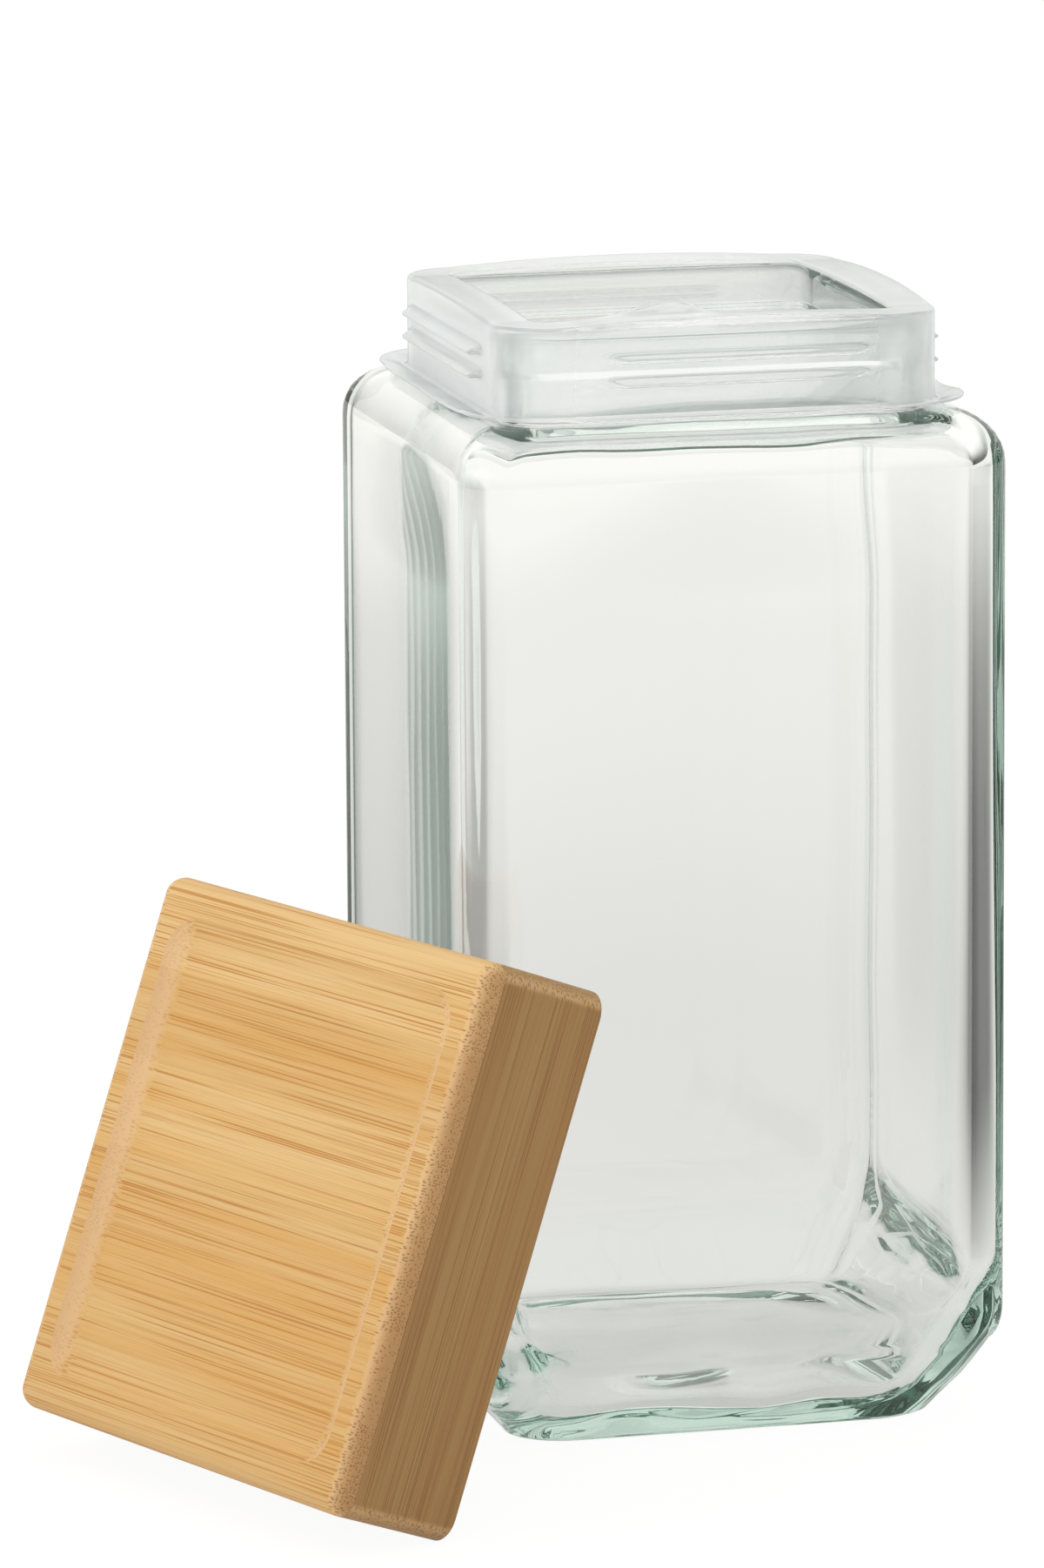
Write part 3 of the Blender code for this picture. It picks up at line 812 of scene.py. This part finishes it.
# Painted shadow under the jar, and painted shade, on the floor that the glass shows.
floor_painted_shadow = 0.62
floor_painted_shadow_span = (0.035, 0.070)
floor_painted_shadow_share = 0.18
floor_far_span = (0.10, 0.35)
floor_dim_span = (0.25, 0.75)
floor_dim_share = 0.14
floor_even = 0.93
floor_even_span = (0.55, 1.60)
floor_even_share = 0.75
floor_distant_span = (0.85, 1.20)
floor_distant_share = 0.20
floor_camera_share = 0.90
floor_glass_share = 0.88
floor_strength = 1.05
room_tint = (1.0, 0.985, 0.955, 1.0)
room_plain = 0.91
room_dim_side = (-27.0, 28.0, 6.0)
room_dim_share = 0.54
room_dark_side = (80.0, 52.0, 14.0)
room_dark_share = 0.78
room_front_side = (180.0, 100.0, 50.0)
room_front_share = 0.38
room_above = 1.12
room_above_span = (0.0, 0.40)
ambient_side = (-60.0, 130.0, 40.0)
ambient_share = 0.37
ambient_least = 0.67
ambient_above = 0.97
ambient_above_span = (0.10, 0.75)


def seen_in_glass(finish):
    """One for glossy and transmission rays, which carry what the glass and the sleeve show."""
    rays = [finish.add("ShaderNodeLightPath", {}, {}, ray) for ray in ("Is Glossy Ray", "Is Transmission Ray")]
    return rays[0].math("MAXIMUM", rays[1])


def facing_side(finish, level_way, compass, start, full):
    """How far a level direction faces one side of the room: not at all at start degrees off, fully at full.

    The compass is in degrees from straight behind the jar, and grows to the right.
    """
    bearing = math.radians(compass)
    aim = finish.add("ShaderNodeVectorMath", {"operation": "DOT_PRODUCT"},
                     {0: level_way, 1: (math.sin(bearing), math.cos(bearing), 0.0)}, "Value")
    return aim.ramp(math.cos(math.radians(start)), math.cos(math.radians(full)))


def room_brightness(finish, level_way):
    """The white room as the glass shows it: dim in front and behind on the left, and dark on the right."""
    dim = facing_side(finish, level_way, *room_dim_side) * room_dim_share
    dark = facing_side(finish, level_way, *room_dark_side) * room_dark_share
    front = facing_side(finish, level_way, *room_front_side) * room_front_share
    return room_plain - dim - dark - front


def levelled(finish, way):
    """A direction without its rise, one long."""
    flat = finish.scaled(way, (1.0, 1.0, 0.0))
    return finish.add("ShaderNodeVectorMath", {"operation": "NORMALIZE"}, {0: flat})


floor_mesh = bpy.data.meshes.new("floor")
floor_corners = [(x * floor_half, y * floor_half, 0) for x, y in ((-1, -1), (1, -1), (1, 1), (-1, 1))]
floor_mesh.from_pydata(floor_corners, [], [(0, 1, 2, 3)])
floor = bpy.data.objects.new("floor", floor_mesh)
floor.location.z = -floor_drop
bpy.context.scene.collection.objects.link(floor)
floor_material, floor_finish = new_finish("pale_floor")
floor_spot = floor_finish.add("ShaderNodeTexCoord", {}, {}, "Object")
floor_way = floor_finish.add("ShaderNodeVectorMath", {"operation": "SUBTRACT"}, {0: floor_spot, 1: jar_axis})
floor_reach = floor_finish.add("ShaderNodeVectorMath", {"operation": "LENGTH"}, {0: floor_way}, "Value")
# Painted shade for the glass: the room's dim and dark sides by bearing from the jar, dimmer within about half a
# metre of it, and even and brighter far off.
floor_room = room_brightness(floor_finish, levelled(floor_finish, floor_way))
floor_room = floor_room * (floor_reach.ramp(*floor_dim_span) * floor_dim_share + (1 - floor_dim_share))
floor_evenness = floor_reach.ramp(*floor_even_span) * floor_even_share
floor_room = floor_room + floor_evenness * (floor_even - floor_room)
floor_room = floor_room + floor_reach.ramp(*floor_distant_span) * floor_distant_share
# Painted shadow: under the jar the floor that the glass shows is darker, and it brightens out to 7 cm away.
floor_bright = floor_painted_shadow + floor_reach.ramp(*floor_painted_shadow_span) * floor_painted_shadow_share
floor_bright = floor_bright + floor_reach.ramp(*floor_far_span) * (floor_room - floor_bright)
floor_camera = floor_finish.add("ShaderNodeLightPath", {}, {}, "Is Camera Ray")
floor_colour = floor_finish.blend(floor_bright, black, floor_tint)
floor_colour = floor_finish.blend(floor_camera, floor_colour, white)
floor_diffuse = floor_finish.add("ShaderNodeBsdfDiffuse", {}, {"Color": floor_grey})
floor_glow = floor_finish.add("ShaderNodeEmission", {}, {"Color": floor_colour, "Strength": floor_strength})
floor_shown = floor_camera * floor_camera_share + seen_in_glass(floor_finish) * floor_glass_share
floor_mix = floor_finish.add("ShaderNodeMixShader", {}, {0: floor_shown, 1: floor_diffuse, 2: floor_glow})
floor_finish.add("ShaderNodeOutputMaterial", {}, {"Surface": floor_mix})
floor.data.materials.append(floor_material)

room = bpy.data.worlds.new("white_room")
bpy.context.scene.world = room
room.use_nodes = True
room_finish = Finish(room.node_tree)
room_way = room_finish.add("ShaderNodeTexCoord", {}, {}, "Generated")
room_level = levelled(room_finish, room_way)
room_rise = room_way.part(2)
wall_light = room_brightness(room_finish, room_level)
wall_light = wall_light + room_rise.ramp(*room_above_span) * (room_above - wall_light)
ambient = facing_side(room_finish, room_level, *ambient_side) * ambient_share + ambient_least
ambient = ambient + room_rise.ramp(*ambient_above_span) * (ambient_above - ambient)
sees_white = room_finish.add("ShaderNodeLightPath", {}, {}, "Is Camera Ray")
strength = ambient + seen_in_glass(room_finish) * (wall_light - ambient)
strength = strength + sees_white * (1.0 - strength)
room_colour = room_finish.blend(sees_white, room_tint, white)
room_light = room_finish.add("ShaderNodeBackground", {}, {"Color": room_colour, "Strength": strength})
room_finish.add("ShaderNodeOutputWorld", {}, {"Surface": room_light})


def soft_lamp(name, offset, width, height, watts):
    """A plain rectangular soft box that points at the middle of the jar."""
    lamp = bpy.data.objects.new(name, bpy.data.lights.new(name, "AREA"))
    lamp.data.shape = "RECTANGLE"
    lamp.data.size = width
    lamp.data.size_y = height
    lamp.data.energy = watts
    lamp.location = jar_axis + Vector(offset)
    aim = jar_axis + Vector((0, 0, rim_height / 2)) - lamp.location
    lamp.rotation_euler = aim.to_track_quat("-Z", "Y").to_euler()
    bpy.context.scene.collection.objects.link(lamp)


soft_lamp("left_soft_box", (-1.6, -0.25, 0.55), 0.9, 1.4, 2.0)
soft_lamp("right_soft_box", (1.5, -0.9, 0.9), 0.5, 1.2, 1.0)

# The camera stands in front and a little to the left, above the jar, with a long lens. Its three angles are
# in degrees.
camera_offset = Vector((-0.4787, -1.8050, 0.4890))
camera_yaw = -13.955
camera_pitch = -11.114
camera_roll = -0.372
image_tall = 1802
focal_pixels = 11002.5
sensor_tall = 36.0
light_bounces = 40
camera = bpy.data.objects.new("camera", bpy.data.cameras.new("camera"))
camera.data.sensor_fit = "VERTICAL"
camera.data.sensor_height = sensor_tall
camera.data.lens = focal_pixels * sensor_tall / image_tall
camera.data.clip_start = 0.05
camera.data.clip_end = 50.0
yaw, pitch, roll = (math.radians(angle) for angle in (camera_yaw, camera_pitch, camera_roll))
forward = Vector((-math.sin(yaw) * math.cos(pitch), math.cos(yaw) * math.cos(pitch), math.sin(pitch)))
level_right = Vector((math.cos(yaw), math.sin(yaw), 0))
level_up = level_right.cross(forward)
camera_right = level_right * math.cos(roll) + level_up * math.sin(roll)
camera_up = level_up * math.cos(roll) - level_right * math.sin(roll)
stance = camera.matrix_world.to_3x3()
for row in range(3):
    stance[row] = (camera_right[row], camera_up[row], -forward[row])
camera.matrix_world = stance.to_4x4()
camera.location = jar_axis + camera_offset
bpy.context.scene.collection.objects.link(camera)
bpy.context.scene.camera = camera
bpy.context.scene.view_settings.view_transform = "Standard"
for kind in ("max_bounces", "diffuse_bounces", "glossy_bounces", "transmission_bounces"):
    setattr(bpy.context.scene.cycles, kind, light_bounces)
